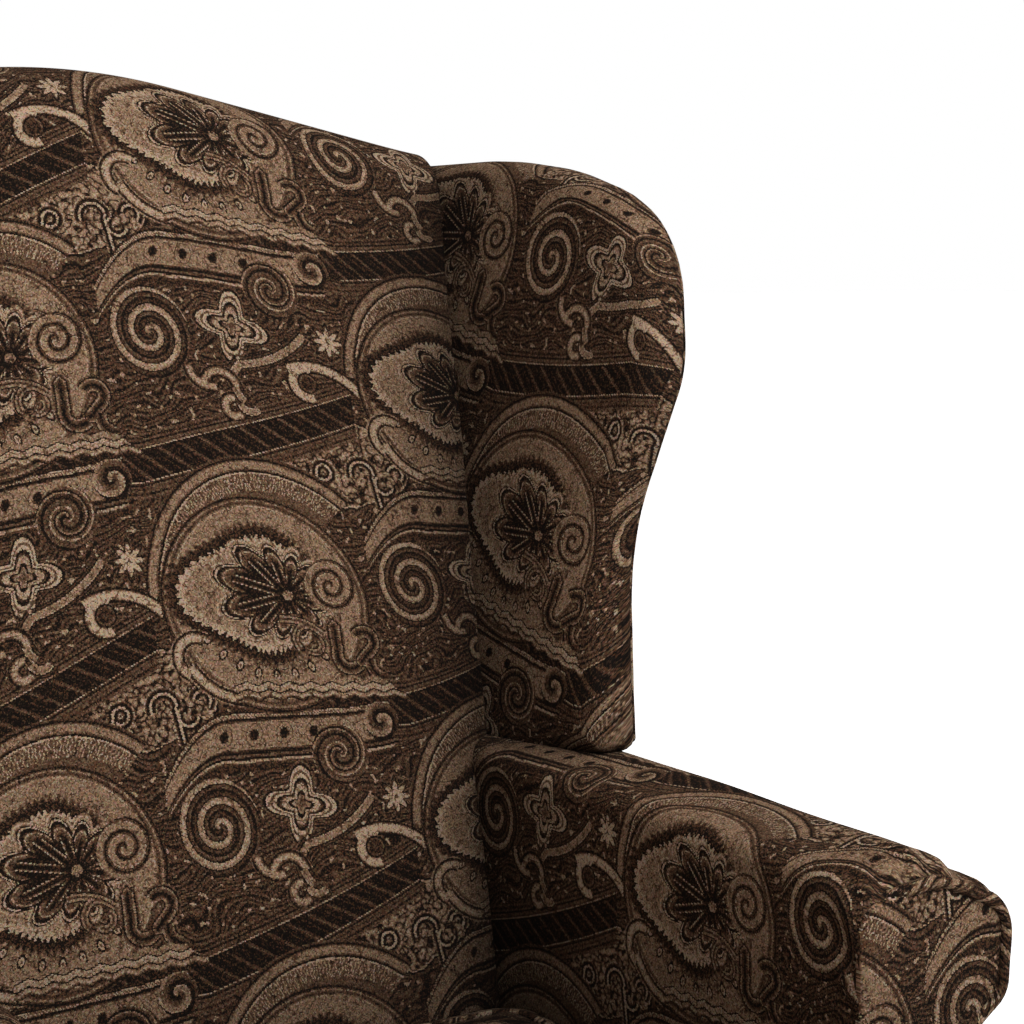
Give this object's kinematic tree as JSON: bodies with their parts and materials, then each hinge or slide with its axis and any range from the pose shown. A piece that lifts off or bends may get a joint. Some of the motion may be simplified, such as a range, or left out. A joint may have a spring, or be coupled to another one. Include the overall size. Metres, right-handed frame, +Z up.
{
  "type": "wingback armchair",
  "caption": "High-backed upholstered armchair with side wings, rolled and piped arm fronts, a low arched crest, a loose T-shaped seat cushion and shaped wooden legs.",
  "frame": {"origin": "middle of the chair's footprint on the floor, at the underside of the glides", "axes": "+Z up, the chair faces -Y, X runs across it with the sitter's left at +X"},
  "size_m": [0.7604, 0.8184, 1.1562],
  "materials": {
    "tapestry": "woven tapestry with a traditional paisley in dark brown, tan and near black",
    "piping": "piping made of the tapestry cut on the bias",
    "deck_cloth": "plain dark brown cotton cloth",
    "dust_cloth": "black non-woven cloth",
    "foam": "cream upholstery foam",
    "wadding": "off-white polyester wadding",
    "webbing": "jute webbing with a herringbone weave",
    "frame_wood": "raw hardwood",
    "leg_wood": "dark walnut stain, satin",
    "spring_steel": "oiled spring steel",
    "zinc_steel": "zinc plated",
    "glide": "dark brown nylon",
    "zip_metal": "dark antique brass"
  },
  "bodies": {
    "chair": {"inside_back_cover": "tapestry", "outside_back_cover": "tapestry", "front_border": "tapestry", "inside_wing_cover_left": "tapestry", "inside_wing_cover_right": "tapestry", "outside_wing_cover_left": "tapestry", "outside_wing_cover_right": "tapestry", "inside_arm_cover_left": "tapestry", "inside_arm_cover_right": "tapestry", "outside_arm_cover_left": "tapestry", "outside_arm_cover_right": "tapestry", "arm_front_panel_left": "tapestry", "arm_front_panel_right": "tapestry", "arm_welt_left": "piping", "arm_welt_right": "piping", "deck_cover": "deck_cloth", "dust_cover": "dust_cloth", "back_foam": "foam", "front_edge_roll": "foam", "arm_foam_left": "foam", "arm_foam_right": "foam", "wing_foam_left": "foam", "wing_foam_right": "foam", "crest_wadding": "wadding", "deck_pad": "wadding", "back_webbing": "webbing", "front_rail": "frame_wood", "rear_rail": "frame_wood", "corner_blocks": "frame_wood", "crest_rail": "frame_wood", "lower_back_rail": "frame_wood", "side_rail_left": "frame_wood", "side_rail_right": "frame_wood", "back_post_left": "frame_wood", "back_post_right": "frame_wood", "arm_stump_left": "frame_wood", "arm_stump_right": "frame_wood", "arm_board_left": "frame_wood", "arm_board_right": "frame_wood", "arm_stretcher_left": "frame_wood", "arm_stretcher_right": "frame_wood", "wing_frame_left": "frame_wood", "wing_frame_right": "frame_wood", "front_leg_left": "leg_wood", "front_leg_right": "leg_wood", "rear_leg_left": "leg_wood", "rear_leg_right": "leg_wood", "seat_springs": "spring_steel", "spring_clips": "zinc_steel", "leg_bolts": "zinc_steel", "block_screws": "zinc_steel", "glides": "glide"},
    "cushion": {"cushion_core": "foam", "cushion_top_panel": "tapestry", "cushion_bottom_panel": "tapestry", "cushion_boxing": "tapestry", "cushion_welts": "piping", "zip_chain": "zip_metal"},
    "zip_slider": {"zip_slider": "zip_metal"}
  },
  "joints": [
    {"name": "cushion_lift", "type": "slide", "parent": "chair", "child": "cushion", "axis": [0, 0, 1], "range_m": [0, 0.3]},
    {"name": "zip_slide", "type": "slide", "parent": "cushion", "child": "zip_slider", "axis": [1, 0, 0], "range_m": [0, 0.382]}
  ]
}
